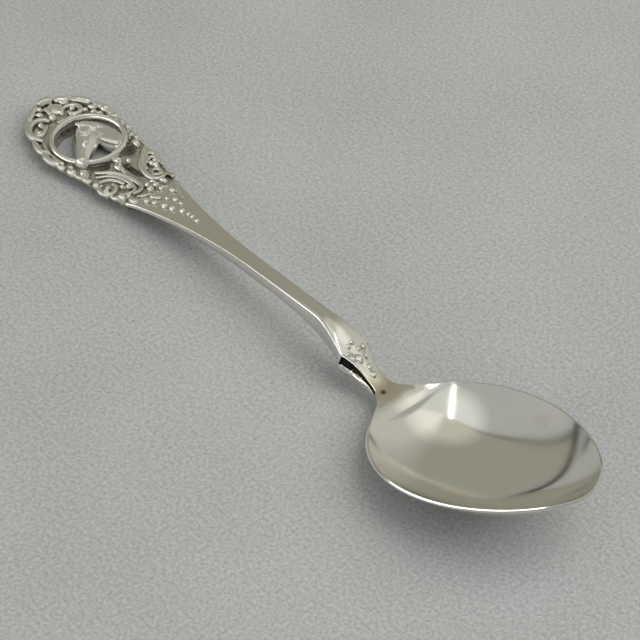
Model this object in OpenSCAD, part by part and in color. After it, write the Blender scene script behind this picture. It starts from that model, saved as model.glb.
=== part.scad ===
// Silver teaspoon with an openwork finial: a plain ring that holds a horse's head, inside a border of
// scrolls, leaves and beads. X runs from the finial to the tip of the bowl, Z is up from the table.

/* [Overall] */
// Length of the spoon from the tip of the finial to the tip of the bowl
total_length = 129.2; // [118:0.2:145]
// Gap left for the solder under every ornament that is soldered on
solder_gap = 0.03; // [0.02:0.01:0.05]

/* [Bowl] */
// Length of the bowl seen from above
bowl_length = 38; // [34:0.5:42]
// Width of the bowl across its rim
bowl_width = 26.8; // [23:0.2:30]
// Depth of the bowl outside, below the middle of its rim
bowl_depth = 7; // [6:0.1:8]
// Thickness of the bowl's wall
bowl_wall = 0.9; // [0.7:0.1:1.3]
// Width of the flat rim
rim_width = 0.8; // [0.6:0.1:1.2]
// Thickness of the rim's edge
rim_edge = 0.5; // [0.3:0.05:0.7]
// How far the tip of the rim stands above its heel
bowl_rise = 11; // [8:0.2:13]
// Extra lift of both ends of the rim above its middle
rim_bow = 1.3; // [0.5:0.1:2]
// Depth of the flat that wear has left under the bowl
worn_depth = 0.15; // [0.12:0.01:0.25]

/* [Stem] */
// Width of the handle where it leaves the finial
root_width = 9.6; // [8:0.2:11]
// Height of the handle's top face where it leaves the finial
root_height = 2.8; // [2.3:0.1:3.2]
// Width of the stem at its narrowest
stem_width = 2.5; // [2.2:0.1:3.4]
// Thickness of the stem at its narrowest
stem_thickness = 2.9; // [2.4:0.1:3.4]
// Rise of the stem's top face from its edges to its middle
stem_crown = 0.25; // [0.1:0.05:0.4]
// Width across the points of the shoulder
shoulder_width = 4.8; // [4.4:0.1:5.6]
// Height of the handle's highest place, just before the shoulder
shoulder_height = 8; // [7.5:0.1:9]
// Width of the neck between the shoulder and the bowl
neck_width = 2.7; // [2.4:0.1:3.2]
// Thickness of the neck where it joins the bowl
neck_thickness = 2.1; // [1.8:0.1:2.6]
// Length from the points of the shoulder to the heel of the bowl
neck_length = 9.1; // [8:0.1:10.5]

/* [Finial] */
// Outside diameter of the plain ring
ring_diameter = 12.8; // [12:0.1:13.6]
// Width of the ring's band
ring_band = 1; // [0.8:0.1:1.3]
// Height of the ring above the plate
ring_height = 1; // [0.7:0.1:1.3]
// Width of the border beside the ring
side_border = 1.7; // [1.4:0.1:2.2]
// Reach of the crest beyond the ring
crest_reach = 7.8; // [7:0.2:9]
// Length from the middle of the ring to the start of the stem
drop_length = 17.4; // [17:0.2:19]
// Thickness of the openwork plate under the ornament
plate_thickness = 1.6; // [1:0.1:2]
// Height of the ornament above the plate
relief_height = 1.2; // [0.9:0.1:1.5]
// Thickness of the horse's head
head_thickness = 2; // [1.6:0.1:2.4]

/* [Hidden] */

silver = [0.78, 0.77, 0.73];
bright_silver = [0.88, 0.88, 0.86];
shaded_silver = [0.6, 0.59, 0.55];

ring_r = ring_diameter / 2;
hole_r = ring_r - ring_band;
finial_half = ring_r + side_border;
ring_x = crest_reach + ring_r;
root_x = ring_x + drop_length;
plate_top = plate_thickness;
heel_x = total_length - bowl_length;
shoulder_x = heel_x - neck_length;
stem_length = shoulder_x - root_x;

function mix(a, b, t) = a + (b - a) * t;
function within(t) = max(0, min(1, t));
function ease(t) = (1 - cos(180 * within(t))) / 2;

// A solid through a list of rings that all have the same number of points, counterclockwise as seen from
// the last ring. Its two end faces are drawn as fans from the point called apex.
module loft(rings, apex = 0) {
    count = len(rings[0]);
    last = len(rings) - 1;
    sides = [for (i = [0:last - 1], j = [0:count - 1])
        let (a = i * count + j, b = i * count + (j + 1) % count)
        each [[a, b + count, b], [a, a + count, b + count]]];
    start_cap = [[for (j = [0:count - 1]) (j + apex) % count]];
    end_cap = [[for (j = [count:-1:1]) last * count + (j + apex) % count]];
    polyhedron(points = [for (ring = rings) each ring], faces = concat(sides, start_cap, end_cap));
}

// The bowl's outline is an egg whose heel runs out into the neck along a curve.
bowl_half = bowl_length / 2;
bowl_mid = heel_x + bowl_half;
egg_share = 0.144;
roundness = 0.57;
flare_start_share = 0.35;
flare_end_share = 0.14;
flare_x = heel_x - neck_length * flare_start_share;
flare_power = 1.7;
blend_x = heel_x + bowl_half * flare_end_share;
flare_rate = (egg(blend_x, bowl_half, bowl_width / 2) - neck_width / 2) / pow(blend_x - flare_x, flare_power);
joint_share = 0.12;
joint_x = heel_x - neck_length * joint_share;

function along(x, half_length) = (x - bowl_mid) / half_length;
function egg(x, half_length, half_width) =
    let (s = along(x, half_length))
    half_width * pow(max(0, 1 - s * s), roundness) * (1 - egg_share * s);
function flare(x) = neck_width / 2 + flare_rate * pow(max(0, x - flare_x), flare_power);
function bowl_edge(x) = x < blend_x ? max(egg(x, bowl_half, bowl_width / 2), flare(x))
    : egg(x, bowl_half, bowl_width / 2);

// Heights of the rim and of the bowl's underside. The bowl is lifted until its underside meets the table.
profile_power = 2.4;
function rim_line(x) = let (s = along(x, bowl_half)) bowl_rise / 2 * s + rim_bow * s * s;
function bowl_drop(x, half_length, depth) =
    depth * (1 - pow(min(1, abs(along(x, half_length))), profile_power));
function outer_drop(x) = max(bowl_drop(x, bowl_half, bowl_depth), x < bowl_mid ? neck_thickness : rim_edge);
lift_steps = 80;
bowl_lift = -worn_depth - min([for (i = [0:lift_steps])
    let (x = mix(heel_x, bowl_mid, i / lift_steps)) rim_line(x) - outer_drop(x)]);
function rim_height(x) = rim_line(x) + bowl_lift;

section_power = 2.3;
heel_power = 5;
heel_fade_share = 0.25;
heel_end_share = 0.8;
rim_in_share = 0.97;
function squareness(x) = mix(section_power, heel_power,
    within((-heel_end_share - along(x, bowl_half)) / heel_fade_share));
cavity_half = bowl_half - rim_width;
cavity_width = bowl_width / 2 - rim_width;
cavity_heel = bowl_mid - cavity_half;
cavity_tip = bowl_mid + cavity_half;
// Places across the bowl, as shares of its half width, from one edge to the other.
section_shares = [-1, -0.96, -0.86, -0.7, -0.5, -0.28, -0.12, 0.12, 0.28, 0.5, 0.7, 0.86, 0.96, 1];
function bowl_ring(x) =
    let (edge = bowl_edge(x), top = rim_height(x), drop = outer_drop(x), power = squareness(x),
        open = x > cavity_heel && x < cavity_tip,
        inner = open ? egg(x, cavity_half, cavity_width) : edge * rim_in_share,
        inner_drop = open ? bowl_drop(x, cavity_half, bowl_depth - bowl_wall) : 0)
    concat([[x, -edge, top]],
        [for (s = section_shares)
            [x, edge * s, max(0, top - rim_edge - (drop - rim_edge) * (1 - pow(abs(s), power)))]],
        [[x, edge, top]],
        [for (s = section_shares)
            [x, -inner * s, top - inner_drop * (1 - pow(abs(s), section_power))]]);
bowl_steps = 36;
heel_steps = 5;
tip_angle = 178;
bowl_stations = concat([for (i = [0:heel_steps]) mix(joint_x, heel_x, i / (heel_steps + 1))],
    [for (i = [1:bowl_steps]) bowl_mid - bowl_half * cos(tip_angle * i / bowl_steps)]);

module bowl() {
    color(silver)
    loft([for (x = bowl_stations) bowl_ring(x)], len(section_shares) / 2);
}

// The handle narrows from the finial to the middle of the stem, widens to the shoulder's points, steps
// in at the notch and stays narrow along the neck.
narrow_share = 0.56;
widen_power = 1.3;
widen_share = 0.85;
notch_share = 0.08;
notch_depth_share = 0.3;
neck_share = 0.35;
function stem_half_width(x) =
    let (s = (x - root_x) / stem_length, n = (x - shoulder_x) / neck_length,
        slim = stem_width / 2, wide = shoulder_width / 2, neck = neck_width / 2)
    n > 0 ? (n < notch_share ? mix(wide, mix(wide, neck, notch_depth_share), n / notch_share)
            : max(flare(x), mix(mix(wide, neck, notch_depth_share), neck,
                ease((n - notch_share) / (neck_share - notch_share)))))
        : slim + (root_width / 2 - slim) * pow(1 - within(s / narrow_share), 2)
            + (wide - slim) * pow(within((s - widen_share) / (1 - widen_share)), widen_power);
arch_power = 0.72;
arch_share = 0.87;
arch_x = mix(root_x, shoulder_x, arch_share);
function stem_top(x) = x < arch_x
    ? mix(root_height, shoulder_height, pow((x - root_x) / (arch_x - root_x), arch_power))
    : mix(shoulder_height, rim_height(joint_x), ease((x - arch_x) / (joint_x - arch_x)));
// The underside leaves the top face at the middle of the stem, and runs straight on under the shoulder.
belly_share = 0.68;
belly_x = mix(root_x, shoulder_x, belly_share);
function stem_drop(x) = x < belly_x
    ? mix(root_height, stem_thickness, within((x - root_x) / (stem_length * narrow_share)))
    : stem_top(x) - mix(stem_top(belly_x) - stem_thickness, rim_height(joint_x) - neck_thickness,
        ease((x - belly_x) / (joint_x - belly_x)));
function stem_crown_at(x) = stem_crown * min(1, within((joint_x - x) / neck_length) * 2);
// Half of the section: shares of the half width and of the thickness, from the top edge to the bottom.
side_shares = [[0.95, 0.3], [0.86, 0.62], [0.62, 0.9], [0.3, 1]];
crown_shares = [-1, -0.55, 0, 0.55, 1];
function stem_ring(x) =
    let (w = stem_half_width(x), top = stem_top(x), t = stem_drop(x), c = stem_crown_at(x))
    concat([for (s = crown_shares) [x, -w * s, top + c * (1 - s * s)]],
        [for (s = side_shares) [x, -w * s[0], top - t * s[1]]],
        [for (i = [len(side_shares) - 1:-1:0]) [x, w * side_shares[i][0], top - t * side_shares[i][1]]]);
stem_steps = 30;
neck_steps = 11;
stem_stations = concat([for (i = [0:stem_steps]) mix(root_x, shoulder_x, i / stem_steps)],
    [shoulder_x + neck_length * notch_share],
    [for (i = [2:neck_steps]) mix(shoulder_x, joint_x, i / neck_steps)]);

module stem() {
    color(silver)
    loft([for (x = stem_stations) stem_ring(x)]);
}

// The finial's outline follows the ring at the border's width and reaches out to the crest at the tip.
outline_power = 1.6;
quarter = 90;
outline_step = 10;
function border_reach(a) = ring_r + side_border
    + (crest_reach - side_border) * pow(1 - within(abs(a) / quarter), outline_power);
// Angles turn from the tip of the finial towards the right, with the tip up.
function on_border(a, r) = [ring_x - r * cos(a), r * sin(a)];
// Places below the ring: shares of the length from its middle, or from its edge, to the start of the stem.
function below(p) = [ring_x + p[0] * drop_length, p[1] * finial_half];
bridge_length = drop_length - ring_r;
function on_bridge(p) = [ring_x + ring_r + p[0] * bridge_length, p[1] * finial_half];
left_edge_shares = [[0.9, -0.7], [0.76, -0.79], [0.6, -0.84], [0.42, -0.88], [0.22, -0.94]];
right_edge_shares = [[0.22, 0.94], [0.42, 0.92], [0.6, 0.88], [0.76, 0.82], [0.9, 0.72]];
left_window_shares = [[-0.036, -0.58], [-0.012, -0.12], [0.05, -0.04], [0.146, -0.08], [0.241, -0.18],
    [0.185, -0.38], [0.114, -0.58]];
right_window_shares = [[-0.075, 0.66], [-0.068, 0.5], [0.027, 0.2], [0.209, 0.22], [0.146, 0.38],
    [0.05, 0.55], [-0.012, 0.68]];
slot_shares = [[0.304, 0.06], [0.288, 0.18], [0.525, 0.14], [0.7, 0.15], [0.7, 0.04], [0.525, 0.02]];
finial_outline = concat([for (a = [-quarter:outline_step:quarter]) on_border(a, border_reach(a))],
    [for (p = right_edge_shares) below(p)],
    [[root_x, root_width / 2], [root_x, -root_width / 2]],
    [for (p = left_edge_shares) below(p)]);

module finial_plate() {
    color(shaded_silver)
    difference() {
        linear_extrude(plate_thickness) polygon(finial_outline);
        translate([ring_x, 0, -plate_thickness])
            cylinder(h = plate_thickness * 3, r = hole_r, $fn = 96);
        for (window = [left_window_shares, right_window_shares, slot_shares])
            translate([0, 0, -plate_thickness])
                linear_extrude(plate_thickness * 3) polygon([for (p = window) on_bridge(p)]);
    }
}

module medallion_ring() {
    color(bright_silver)
    translate([ring_x, 0, plate_top])
    rotate_extrude($fn = 96)
    intersection() {
        translate([ring_r - ring_band / 2, 0])
            scale([1, ring_height * 2 / ring_band]) circle(d = ring_band, $fn = 24);
        translate([hole_r, 0]) square([ring_band, ring_height]);
    }
}

// A bead that stands on its flat side: discs that shrink as a ball's slices do, with the skin over them.
dome_angles = [0, 32, 58, 76];
slice_share = 0.03;
module dome(r) {
    hull() {
        for (a = dome_angles)
            translate([0, 0, r * sin(a)]) cylinder(h = r * slice_share, r = r * cos(a), $fn = 12);
    }
}

// A leaf or lobe: two half balls of different size with the skin between them.
module lobe(from, to, r_from, r_to) {
    hull() {
        translate([from[0], from[1], 0]) dome(r_from);
        translate([to[0], to[1], 0]) dome(r_to);
    }
}

// A half-round strand along a path of [x, y] points. It swells to its full width in the middle.
strand_shares = [[1, 0], [0.8, 0.6], [0.3, 0.95], [-0.3, 0.95], [-0.8, 0.6], [-1, 0]];
strand_end_share = 0.35;
swell_power = 0.5;
module strand(path, half_width, height) {
    last = len(path) - 1;
    loft([for (i = [0:last])
        let (ahead = path[min(last, i + 1)] - path[max(0, i - 1)], side = [-ahead[1], ahead[0]] / norm(ahead),
            swell = mix(strand_end_share, 1, pow(sin(180 * i / last), swell_power)))
        [for (s = strand_shares) let (p = path[i] + side * s[0] * half_width * swell)
            [p[0], p[1], s[1] * height * swell]]]);
}

// Points along a spiral whose radius goes from r_from to r_to while its angle goes from a_from to a_to.
function spiral(centre, r_from, r_to, a_from, a_to, steps) = [for (i = [0:steps])
    let (t = i / steps, a = mix(a_from, a_to, t), r = mix(r_from, r_to, t))
    [centre[0] + r * cos(a), centre[1] + r * sin(a)]];

// The head's places are shares of the hole's radius, from the middle of the ring: x, y and the ball's radius.
head_parts_shares = [
    [[-0.46, 0.1, 0.3], [0.02, -0.24, 0.25]],
    [[0.02, -0.24, 0.23], [0.52, -0.56, 0.17]],
    [[0.5, -0.54, 0.15], [0.6, -0.62, 0.19]],
    [[-0.05, 0.02, 0.32], [0.12, 0.02, 0.2]],
    [[-0.5, 0.28, 0.26], [-0.28, 0.62, 0.3]],
    [[-0.1, 0.34, 0.3], [0.1, 0.64, 0.31]],
    [[0.1, 0.5, 0.22], [0.4, 0.66, 0.2]],
    [[-0.62, 0.12, 0.2], [-0.6, 0.5, 0.16]],
    [[-0.66, 0.04, 0.12], [-0.9, -0.05, 0.06]],
    [[-0.68, 0.2, 0.12], [-0.9, 0.2, 0.06]]];
eye_share = [-0.24, -0.1, 0.08];
eye_rise_share = 0.66;
head_flatness_share = 0.76;
head_step_share = 0.017;

module horse_head() {
    color(bright_silver)
    translate([ring_x, 0, plate_top + relief_height - head_thickness]) {
        for (i = [0:len(head_parts_shares) - 1])
            let (height = head_thickness * (head_flatness_share - i * head_step_share))
            hull() {
                for (ball = head_parts_shares[i])
                    translate([ball[0] * hole_r, ball[1] * hole_r, 0])
                        scale([1, 1, height / (ball[2] * hole_r)]) dome(ball[2] * hole_r);
            }
        translate([eye_share[0] * hole_r, eye_share[1] * hole_r, head_thickness * eye_rise_share])
            dome(eye_share[2] * hole_r);
    }
}

crest_step = 11;
crest_base_share = 0.16;
crest_end_share = 0.86;
crest_lobe_share = 0.11;
crest_curl_shares = [0.42, 0.3, 0.12];
crest_curl_turn = [20, 330];
crest_band_share = 0.06;
curl_steps = 14;
module crest() {
    color(silver)
    translate([0, 0, plate_top]) {
        for (a = [-3 * crest_step:crest_step:3 * crest_step])
            let (reach = border_reach(a) - ring_r, size = crest_reach * crest_lobe_share)
            lobe(on_border(a, ring_r + reach * crest_base_share), on_border(a, ring_r + reach * crest_end_share),
                size / 2, size);
        for (side = [-1, 1])
            let (place = on_border(side * crest_step * 2, ring_r + crest_reach * crest_curl_shares[0]))
            strand(spiral(place, crest_reach * crest_curl_shares[1], crest_reach * crest_curl_shares[2],
                side * crest_curl_turn[0], side * crest_curl_turn[1], curl_steps),
                crest_reach * crest_band_share, relief_height);
    }
}

// Leaves and beads of the border, as angles and as shares of the border's width beside the ring.
leaf_lean = 7;
leaf_in_share = 0.42;
leaf_out_share = 0.28;
leaf_size_shares = [0.26, 0.32];
left_leaf_angles = [52, 66, 80, 94, 108, 121];
left_bead_angles = [44, 58, 73, 88];
border_bead_shares = [0.3, 0.26];
left_rib_angles = [40, 70];
rib_step = 5;
rib_base_shares = [0.4, 0.45];
rib_width_share = 0.24;
left_curl_place_shares = [0.385, -0.76];
left_curl_size_shares = [0.07, 0.03];
left_curl_turn = [150, 470];
lower_bead_shares = [[0.5, -0.83, 0.3], [0.6, -0.79, 0.34]];
module border_left() {
    color(silver)
    translate([0, 0, plate_top]) {
        for (a = left_leaf_angles)
            lobe(on_border(leaf_lean - a, ring_r + side_border * leaf_in_share),
                on_border(-a - leaf_lean, border_reach(a) - side_border * leaf_out_share),
                side_border * leaf_size_shares[0], side_border * leaf_size_shares[1]);
        for (a = left_bead_angles)
            translate(concat(on_border(-a, border_reach(a) - side_border * border_bead_shares[0]), 0))
                dome(side_border * border_bead_shares[1]);
        strand([for (a = [left_rib_angles[0]:rib_step:left_rib_angles[1]])
            on_border(-a, mix(ring_r + side_border * rib_base_shares[0], border_reach(a), rib_base_shares[1]))],
            side_border * rib_width_share, relief_height);
        strand(spiral(below(left_curl_place_shares), drop_length * left_curl_size_shares[0],
            drop_length * left_curl_size_shares[1], left_curl_turn[0], left_curl_turn[1], curl_steps),
            side_border * rib_width_share, relief_height);
        for (bead = lower_bead_shares)
            translate(concat(below(bead), 0)) dome(side_border * bead[2]);
    }
}

right_leaf_angles = [42, 56, 70, 84];
right_oval_angles = [49, 68, 96, 118];
right_rib_angles = [34, 64];
right_bead_share = [0.27, 0.76, 0.32];
module border_right() {
    color(silver)
    translate([0, 0, plate_top]) {
        for (a = right_oval_angles)
            let (r = border_reach(a) - side_border * leaf_in_share)
            lobe(on_border(a - leaf_lean / 2, r), on_border(a + leaf_lean / 2, r),
                side_border * leaf_size_shares[1], side_border * leaf_size_shares[1]);
        for (a = right_leaf_angles)
            let (r = ring_r + side_border * leaf_in_share)
            lobe(on_border(a - leaf_lean, r), on_border(a + leaf_lean, r),
                side_border * leaf_size_shares[0], side_border * leaf_size_shares[1]);
        strand([for (a = [right_rib_angles[0]:rib_step:right_rib_angles[1]])
            on_border(a, mix(ring_r + side_border * rib_base_shares[0], border_reach(a), rib_base_shares[1]))],
            side_border * rib_width_share, relief_height);
        translate(concat(below(right_bead_share), 0)) dome(side_border * right_bead_share[2]);
    }
}

volute_share = 0.165;
volute_end_share = 0.35;
volute_eye_share = 0.32;
volute_band_share = 0.028;
left_volute_shares = [0.78, -0.36];
left_volute_turn = [-150, 330];
left_twin_shares = [0.755, -0.7];
left_twin_turn = [-40, 240];
twin_size_share = 0.5;
left_stalk_shares = [[0.5, -0.72], [0.55, -0.6], [0.59, -0.45], [0.61, -0.3]];
left_facet_shares = [[[0.86, -0.58], [0.9, -0.5]], [[0.93, -0.58], [0.97, -0.5]]];
facet_taper_share = 0.6;
volute_steps = 26;
module scroll_left() {
    volute_r = drop_length * volute_share;
    band = drop_length * volute_band_share;
    color(silver)
    translate([0, 0, plate_top]) {
        strand(spiral(below(left_volute_shares), volute_r, volute_r * volute_end_share,
            left_volute_turn[0], left_volute_turn[1], volute_steps), band, relief_height);
        strand(spiral(below(left_twin_shares), volute_r * twin_size_share, volute_r * twin_size_share / 2,
            left_twin_turn[0], left_twin_turn[1], curl_steps), band, relief_height);
        translate(concat(below(left_volute_shares), 0)) dome(volute_r * volute_eye_share);
        translate(concat(below(left_twin_shares), 0)) dome(volute_r * volute_eye_share / 2);
        strand([for (p = left_stalk_shares) below(p)], band, relief_height);
        for (facet = left_facet_shares)
            lobe(below(facet[0]), below(facet[1]), band, band * facet_taper_share);
    }
}

right_volute_shares = [0.7, 0.52];
right_volute_turn = [-150, -500];
right_stalk_shares = [[0.3, 0.86], [0.4, 0.72], [0.5, 0.5]];
right_leaf_shares = [[0.38, 0.86], [0.46, 0.76], [0.52, 0.66]];
right_leaf_height_share = 0.8;
right_facet_shares = [[[0.82, 0.62], [0.85, 0.5]], [[0.9, 0.62], [0.93, 0.5]]];
module scroll_right() {
    volute_r = drop_length * volute_share;
    band = drop_length * volute_band_share;
    color(silver)
    translate([0, 0, plate_top]) {
        strand(concat([for (p = right_stalk_shares) below(p)],
            spiral(below(right_volute_shares), volute_r, volute_r * volute_end_share,
            right_volute_turn[0], right_volute_turn[1], volute_steps)), band, relief_height);
        translate(concat(below(right_volute_shares), 0)) dome(volute_r * volute_eye_share);
        strand([for (p = right_leaf_shares) below(p)], band * right_leaf_height_share,
            relief_height * right_leaf_height_share);
        for (facet = right_facet_shares)
            lobe(below(facet[0]), below(facet[1]), band, band * facet_taper_share);
    }
}

// The beads that tie the ring to the scrolls, on the bridge between the windows.
collar_beads_shares = [[0.114, 0.08, 0.087], [0.272, -0.04, 0.063], [0.241, 0.28, 0.047]];
module collar() {
    color(bright_silver)
    translate([0, 0, plate_top])
        for (bead = collar_beads_shares)
            translate(concat(on_bridge(bead), 0)) dome(bridge_length * bead[2]);
}

// Ornaments on the sloping handle are seated on its top face by this turn and shift.
function stem_slope(x) = let (run = stem_width / 2) atan((stem_top(x + run) - stem_top(x)) / run);
module on_stem(x, y) {
    translate([x, y, stem_top(x) + stem_crown_at(x) + solder_gap])
        rotate([0, -stem_slope(x), 0]) children();
}

// Two curls that hug the root of the handle, past the end of the plate.
root_curl_place_shares = [0.9, 0.25];
root_curl_size_shares = [0.12, 0.055];
root_curl_turn = [180, -120];
root_curl_yaw = 20;
root_curl_height_share = 0.6;
module base_scrolls() {
    color(silver)
    for (side = [-1, 1])
        on_stem(root_x + stem_width * root_curl_place_shares[0], side * root_width * root_curl_place_shares[1])
            rotate([0, 0, side * root_curl_yaw])
            strand(spiral([0, 0], root_width * root_curl_size_shares[0], root_width * root_curl_size_shares[1],
                side * root_curl_turn[0], side * root_curl_turn[1], curl_steps),
                root_width * root_curl_size_shares[1] / 2, relief_height * root_curl_height_share);
}

// Beads between the two volutes.
cluster_shares = [[0.87, 0.02, 0.029], [0.945, -0.1, 0.036], [0.935, 0.16, 0.038]];
module bead_cluster() {
    color(bright_silver)
    translate([0, 0, plate_top])
        for (bead = cluster_shares)
            translate(concat(below(bead), 0)) dome(drop_length * bead[2]);
}

// A row of beads that shrink along the middle of the handle.
drop_beads = 7;
drop_pitch_share = 0.62;
drop_size_share = 0.2;
drop_start_share = 1.6;
drop_shrink_share = 0.88;
module bead_drop() {
    color(bright_silver)
    for (i = [0:drop_beads - 1])
        on_stem(root_x + stem_width * (drop_start_share + drop_pitch_share * i), 0)
            dome(stem_width * drop_size_share * pow(drop_shrink_share, i));
}

// A flower on the shoulder: three petals round an eye, and two leaves that point at the neck.
petal_share = 0.12;
rosette_place_share = 0.42;
petal_reach_share = 1.4;
petal_size_share = 0.8;
eye_size_share = 0.45;
leaf_reach_shares = [1.3, 2.6];
leaf_taper_shares = [0.6, 0.4];
leaf_angle = 27;
module shoulder_rosette() {
    size = shoulder_width * petal_share;
    color(bright_silver)
    on_stem(shoulder_x - shoulder_width * rosette_place_share, 0) {
        for (a = [90, 180, 270])
            rotate([0, 0, a]) translate([size * petal_reach_share, 0, 0]) dome(size * petal_size_share);
        dome(size * eye_size_share);
        for (side = [-1, 1])
            rotate([0, 0, side * leaf_angle]) lobe([size * leaf_reach_shares[0], 0], [size * leaf_reach_shares[1], 0],
                size * leaf_taper_shares[0], size * leaf_taper_shares[1]);
    }
}

module place() {
    translate([-total_length / 2, 0, 0]) children();
}

place() bowl();
place() stem();
place() finial_plate();
place() medallion_ring();
place() horse_head();
place() crest();
place() border_left();
place() border_right();
place() scroll_left();
place() scroll_right();
place() collar();
place() base_scrolls();
place() bead_cluster();
place() bead_drop();
place() shoulder_rosette();
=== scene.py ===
import math

import bpy
from mathutils import Matrix, Vector


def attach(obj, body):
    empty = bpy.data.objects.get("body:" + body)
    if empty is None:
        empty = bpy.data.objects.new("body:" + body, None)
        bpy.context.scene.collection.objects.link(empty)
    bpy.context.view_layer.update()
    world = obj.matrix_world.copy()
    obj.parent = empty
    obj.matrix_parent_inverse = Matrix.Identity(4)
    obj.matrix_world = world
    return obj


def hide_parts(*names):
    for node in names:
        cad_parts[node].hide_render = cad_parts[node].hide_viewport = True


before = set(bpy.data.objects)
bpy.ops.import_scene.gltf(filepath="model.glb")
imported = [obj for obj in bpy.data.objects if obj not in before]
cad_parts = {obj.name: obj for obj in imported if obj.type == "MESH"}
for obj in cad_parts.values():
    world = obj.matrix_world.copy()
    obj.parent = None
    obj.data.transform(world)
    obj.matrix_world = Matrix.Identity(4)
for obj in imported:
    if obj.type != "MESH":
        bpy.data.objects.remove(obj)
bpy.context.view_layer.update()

# Camera: it looks down from beyond the bowl and from one side of it, so that the bowl is near and the finial
# far, as in the photograph.
MM = 0.001
CAMERA_PLACE = (195.1, -148.73, 220.32)
CAMERA_AZIMUTH, CAMERA_TILT, CAMERA_ROLL = 51.27, 47.96, 0.45
CAMERA_LENS, CAMERA_SENSOR = 124.6, 36
camera_turn = (
    Matrix.Rotation(math.radians(CAMERA_AZIMUTH), 3, "Z")
    @ Matrix.Rotation(math.radians(CAMERA_TILT), 3, "X")
    @ Matrix.Rotation(math.radians(CAMERA_ROLL), 3, "Z")
)
bpy.ops.object.camera_add(location=[v * MM for v in CAMERA_PLACE], rotation=camera_turn.to_euler())
camera = bpy.context.object
camera.name = "camera"
camera.data.sensor_width = CAMERA_SENSOR
camera.data.lens = CAMERA_LENS
camera.data.clip_start = 0.01
bpy.context.scene.camera = camera
bpy.context.scene.view_settings.view_transform = "Standard"

# Table top: honed stone, pale grey and matt. Its grain is finer than a millimetre, and faint cloudy patches a
# few centimetres wide show in it.
STONE, STONE_DARK, STONE_LIGHT = "#a7a9ab", "#96989a", "#b7b9bb"
STONE_GRAIN, STONE_CLOUD, CLOUD_SHARE, GRAIN_DEEP = 0.55, 30, 0.16, 0.1
TABLE_WIDE = 4000


def add_node(tree, kind, inputs=None, stops=(), **settings):
    """Adds one shader node with its settings, and gives each named input a value or a link. A colour ramp also
    gets its stops, as (place, linear colour)."""
    node = tree.nodes.new("ShaderNode" + kind)
    for name, value in settings.items():
        setattr(node, name, value)
    for name, value in (inputs or {}).items():
        if isinstance(value, bpy.types.NodeSocket):
            tree.links.new(value, node.inputs[name])
        else:
            node.inputs[name].default_value = value
    if stops:
        elements = node.color_ramp.elements
        while len(elements) < len(stops):
            elements.new(0.5)
        for element, (place, shade) in zip(elements, stops):
            element.position = place
            element.color = shade
    return node


def colour(code):
    """Turns an sRGB hex value into the linear colour that a node takes."""
    parts = [int(code[i : i + 2], 16) / 255 for i in (1, 3, 5)]
    return [c / 12.92 if c <= 0.04045 else ((c + 0.055) / 1.055) ** 2.4 for c in parts] + [1]


bpy.ops.object.select_all(action="DESELECT")
bpy.ops.mesh.primitive_plane_add(size=TABLE_WIDE * MM)
table = bpy.context.object
table.name = "table_top"
stone = bpy.data.materials.new("honed_stone")
stone.use_nodes = True
tree = stone.node_tree
place = add_node(tree, "TexCoord").outputs["Object"]
grain = add_node(
    tree, "TexNoise", {"Vector": place, "Scale": 1 / (STONE_GRAIN * MM), "Detail": 3, "Roughness": 0.75}
).outputs["Fac"]
cloud = add_node(tree, "TexNoise", {"Vector": place, "Scale": 1 / (STONE_CLOUD * MM), "Detail": 3})
mixed = add_node(
    tree, "Mix", {"Factor": CLOUD_SHARE, "A": grain, "B": cloud.outputs["Fac"]}, data_type="FLOAT"
)
stone_tones = [(0.36, colour(STONE_DARK)), (0.5, colour(STONE)), (0.64, colour(STONE_LIGHT))]
shade = add_node(tree, "ValToRGB", {"Fac": mixed.outputs["Result"]}, stone_tones)
surface = tree.nodes["Principled BSDF"]
tree.links.new(shade.outputs["Color"], surface.inputs["Base Color"])
surface.inputs["Roughness"].default_value = 0.75
surface.inputs["Specular IOR Level"].default_value = 0.25
stone_bump = add_node(tree, "Bump", {"Height": grain, "Strength": 0.25, "Distance": GRAIN_DEEP * MM})
tree.links.new(stone_bump.outputs["Normal"], surface.inputs["Normal"])
table.data.materials.append(stone)

# Studio light: screens stand all round the table, one warm, one cool, one plain grey and one bright, with a
# dark gap between two of them. They are dim at the foot and meet in a brighter ceiling. A broad soft lamp
# lights the table and isn't seen in the silver, and three narrow ones give it its bright lines.
WARM, COOL, GREY, BRIGHT, GAP = (colour(c) for c in ("#97968a", "#adaeaa", "#a5a6a1", "#bdbdb4", "#4a4b46"))
SCREENS = [
    (0.0, WARM), (0.03, WARM), (0.037, GAP), (0.046, COOL), (0.27, COOL), (0.31, GREY), (0.62, GREY),
    (0.68, BRIGHT), (0.77, BRIGHT), (0.84, WARM),
]
FOOT_LOW, FOOT_HIGH, FULL, CEILING = colour("#5c5c5c"), colour("#606060"), colour("#ffffff"), [1.7, 1.7, 1.7, 1]
SCREEN_HEIGHTS = [(0.0, FOOT_LOW), (0.04, FOOT_HIGH), (0.065, FULL), (0.8, FULL), (0.92, CEILING)]
world = bpy.data.worlds.new("studio")
bpy.context.scene.world = world
world.use_nodes = True
tree = world.node_tree
direction = add_node(tree, "TexCoord").outputs["Generated"]
around = add_node(tree, "TexGradient", {"Vector": direction}, gradient_type="RADIAL").outputs["Fac"]
screen = add_node(tree, "ValToRGB", {"Fac": around}, SCREENS).outputs["Color"]
height = add_node(tree, "SeparateXYZ", {"Vector": direction}).outputs["Z"]
lit = add_node(tree, "ValToRGB", {"Fac": height}, SCREEN_HEIGHTS).outputs["Color"]
shown = add_node(tree, "VectorMath", {0: screen, 1: lit}, operation="MULTIPLY")
tree.links.new(shown.outputs["Vector"], tree.nodes["Background"].inputs["Color"])
tree.nodes["Background"].inputs["Strength"].default_value = 1.0
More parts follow.
